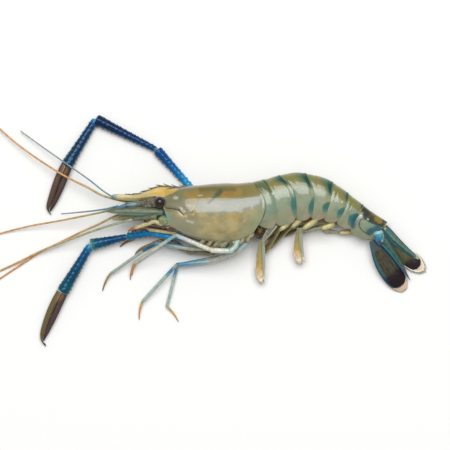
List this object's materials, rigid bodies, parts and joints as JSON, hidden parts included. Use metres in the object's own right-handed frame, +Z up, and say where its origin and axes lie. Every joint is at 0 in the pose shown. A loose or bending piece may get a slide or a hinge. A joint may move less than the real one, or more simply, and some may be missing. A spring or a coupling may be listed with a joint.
{
  "type": "raw shrimp",
  "caption": "Whole raw river prawn lying on its side, with a toothed rostrum, long feelers, blue claw arms, walking legs, a ringed tail and a tail fan.",
  "frame": {"origin": "on the flat spot of the right flank of the second tail ring, where the body rests on its surface", "axes": "+X from the head to the tail, +Y towards the back, +Z up from the surface that the prawn lies on"},
  "size_m": [0.3397, 0.1799, 0.035],
  "materials": {
    "shell": "wet chitin cuticle of the head shield, olive with orange-brown patches",
    "ring_shell": "wet chitin cuticle of the tail rings, olive above and grey-green on the flank, with dark teal bands",
    "underside": "soft pale cuticle between the legs",
    "head_skin": "speckled brown cuticle of the face",
    "eye": "glossy purple-black eye on a speckled stalk",
    "teal_cuticle": "grey-green cuticle of the antenna bases and scales",
    "feeler_grey": "blue-grey ringed feeler",
    "feeler_orange": "orange ringed feeler",
    "leg": "pale translucent leg cuticle, blue at the knee and orange at the tip",
    "arm_blue": "deep blue cuticle set with small dark spines",
    "claw_brown": "dark brown finger cuticle, black at the tip",
    "swimmer": "thin translucent blade, olive at the root and cream at the fringe",
    "tail": "teal tail lobe with a black patch and a cream fringe"
  },
  "bodies": {
    "root": {"carapace": "shell", "thorax_underside": "underside", "head_front": "head_skin", "abdomen_ring_1": "ring_shell", "abdomen_ring_2": "ring_shell", "abdomen_ring_3": "ring_shell", "abdomen_ring_4": "ring_shell", "abdomen_ring_5": "ring_shell", "abdomen_ring_6": "ring_shell", "abdomen_ring_7": "ring_shell", "left_eye": "eye", "right_eye": "eye", "left_antenna_base": "teal_cuticle", "right_antenna_base": "teal_cuticle", "left_antennule": "teal_cuticle", "right_antennule": "teal_cuticle", "left_antenna_scale": "teal_cuticle", "right_antenna_scale": "teal_cuticle", "left_mouth_leg": "leg", "right_mouth_leg": "leg", "right_antennule_feeler_1": "feeler_grey", "right_antennule_feeler_2": "feeler_orange", "left_antennule_feeler_1": "feeler_grey", "left_antennule_feeler_2": "feeler_orange", "right_antenna_feeler": "feeler_orange", "left_antenna_feeler": "feeler_orange", "left_leg_1": "leg", "right_leg_1": "leg", "left_leg_3": "leg", "right_leg_3": "leg", "left_leg_4": "leg", "right_leg_4": "leg", "left_leg_5": "leg", "right_leg_5": "leg", "left_claw_merus": "arm_blue", "right_claw_merus": "arm_blue", "left_claw_carpus": "arm_blue", "right_claw_carpus": "arm_blue", "left_claw_palm": "arm_blue", "right_claw_palm": "arm_blue", "left_claw_finger": "claw_brown", "right_claw_finger": "claw_brown", "left_pleopod_1": "swimmer", "left_pleopod_2": "swimmer", "left_pleopod_3": "swimmer", "left_pleopod_4": "swimmer", "left_pleopod_5": "swimmer", "right_pleopod_1": "swimmer", "right_pleopod_2": "swimmer", "right_pleopod_3": "swimmer", "right_pleopod_4": "swimmer", "right_pleopod_5": "swimmer", "telson": "tail", "left_uropod_stalk": "tail", "left_uropod_outer": "tail", "left_uropod_inner": "tail", "right_uropod_stalk": "tail", "right_uropod_outer": "tail", "right_uropod_inner": "tail"}
  },
  "joints": []
}
